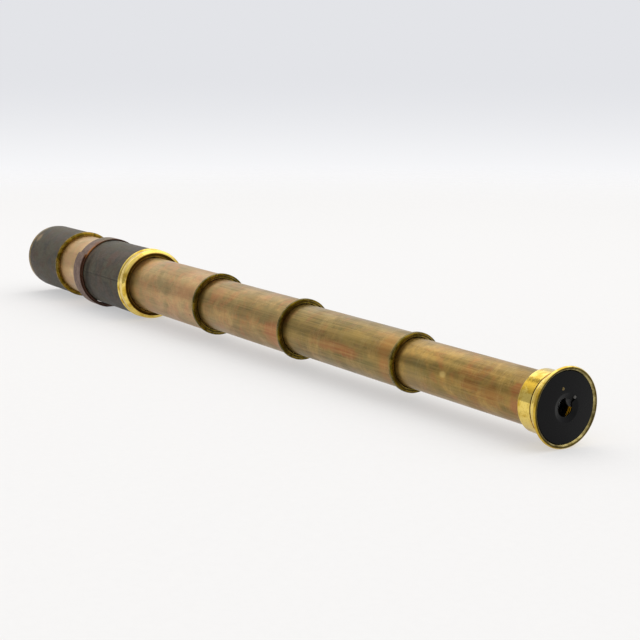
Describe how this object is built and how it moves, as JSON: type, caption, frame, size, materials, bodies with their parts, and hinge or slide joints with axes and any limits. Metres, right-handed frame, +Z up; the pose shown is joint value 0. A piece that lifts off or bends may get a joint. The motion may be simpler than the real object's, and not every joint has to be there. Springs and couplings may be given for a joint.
{
  "type": "telescope",
  "caption": "Hand telescope with nested brass draw tubes, a leather-covered barrel with a strap, a sliding sunshade and a flared eyecup with a shutter.",
  "frame": {"origin": "on the optical axis, at the middle of the barrel's leather grip", "axes": "+X along the optical axis towards the eyepiece, +Z up, with the telescope lying level and drawn out in full"},
  "size_m": [0.7052, 0.0606, 0.0601],
  "materials": {
    "aged_brass": "satin, blotched brown patina with copper-red patches",
    "barrel_brass": "satin, tan, lightly worn",
    "olive_brass": "satin, dark olive tarnish with bright worn edges",
    "polished_brass": "bright polished",
    "machined_brass": "turned",
    "blackened_brass": "chemically blackened, matt",
    "black_lacquer": "glossy black lacquer on brass",
    "dark_leather": "satin grey-black, fine grain, stitched seam",
    "strap_leather": "worn mauve-brown hide with dark burnished edges",
    "optical_glass": "polished, clear",
    "felt": "dark green wool felt"
  },
  "bodies": {
    "barrel": {"barrel_tube": "barrel_brass", "barrel_leather": "dark_leather", "barrel_collar": "polished_brass", "barrel_sleeve": "machined_brass", "barrel_glare_stop": "blackened_brass", "objective_cell": "machined_brass", "crown_lens": "optical_glass", "lens_spacer": "machined_brass", "flint_lens": "optical_glass", "lens_retaining_ring": "machined_brass", "strap": "strap_leather"},
    "sunshade": {"sunshade_tube": "barrel_brass", "sunshade_leather": "dark_leather", "sunshade_rear_ring": "olive_brass", "sunshade_front_ring": "olive_brass", "sunshade_felt": "felt"},
    "draw_1": {"draw_tube_1": "aged_brass", "draw_collar_1": "olive_brass", "draw_sleeve_1": "machined_brass", "stop_ring_1": "machined_brass"},
    "draw_2": {"draw_tube_2": "aged_brass", "draw_collar_2": "olive_brass", "draw_sleeve_2": "machined_brass", "stop_ring_2": "machined_brass"},
    "draw_3": {"draw_tube_3": "aged_brass", "draw_collar_3": "olive_brass", "draw_sleeve_3": "machined_brass", "stop_ring_3": "machined_brass", "draw_glare_stop": "blackened_brass"},
    "draw_4": {"draw_tube_4": "aged_brass", "stop_ring_4": "machined_brass", "erector_tube": "machined_brass", "rear_erector_lens": "optical_glass", "front_erector_lens": "optical_glass", "erector_lens_rings": "machined_brass", "erector_stop": "blackened_brass", "eyepiece_tube": "machined_brass", "eye_lens": "optical_glass", "eye_lens_ring": "blackened_brass", "field_stop": "blackened_brass", "field_lens": "optical_glass", "field_lens_ring": "machined_brass", "eyepiece_band": "polished_brass", "eyecup": "polished_brass", "eye_dish": "black_lacquer", "shutter_pin": "machined_brass"},
    "shutter": {"eye_shutter": "blackened_brass", "shutter_knob": "black_lacquer"}
  },
  "joints": [
    {"name": "sunshade_slide", "type": "slide", "parent": "barrel", "child": "sunshade", "axis": [1, 0, 0], "range_m": [0, 0.0428]},
    {"name": "draw_1_slide", "type": "slide", "parent": "barrel", "child": "draw_1", "axis": [1, 0, 0], "range_m": [-0.1113, 0]},
    {"name": "draw_2_slide", "type": "slide", "parent": "draw_1", "child": "draw_2", "axis": [1, 0, 0], "range_m": [-0.116, 0]},
    {"name": "draw_3_slide", "type": "slide", "parent": "draw_2", "child": "draw_3", "axis": [1, 0, 0], "range_m": [-0.1225, 0]},
    {"name": "draw_4_slide", "type": "slide", "parent": "draw_3", "child": "draw_4", "axis": [1, 0, 0], "range_m": [-0.1106, 0]},
    {"name": "shutter_pivot", "type": "hinge", "parent": "draw_4", "child": "shutter", "pos_m": [0.53369, -0.00262, 0.01031], "axis": [1, 0, 0], "range_deg": [-43, 0]}
  ]
}
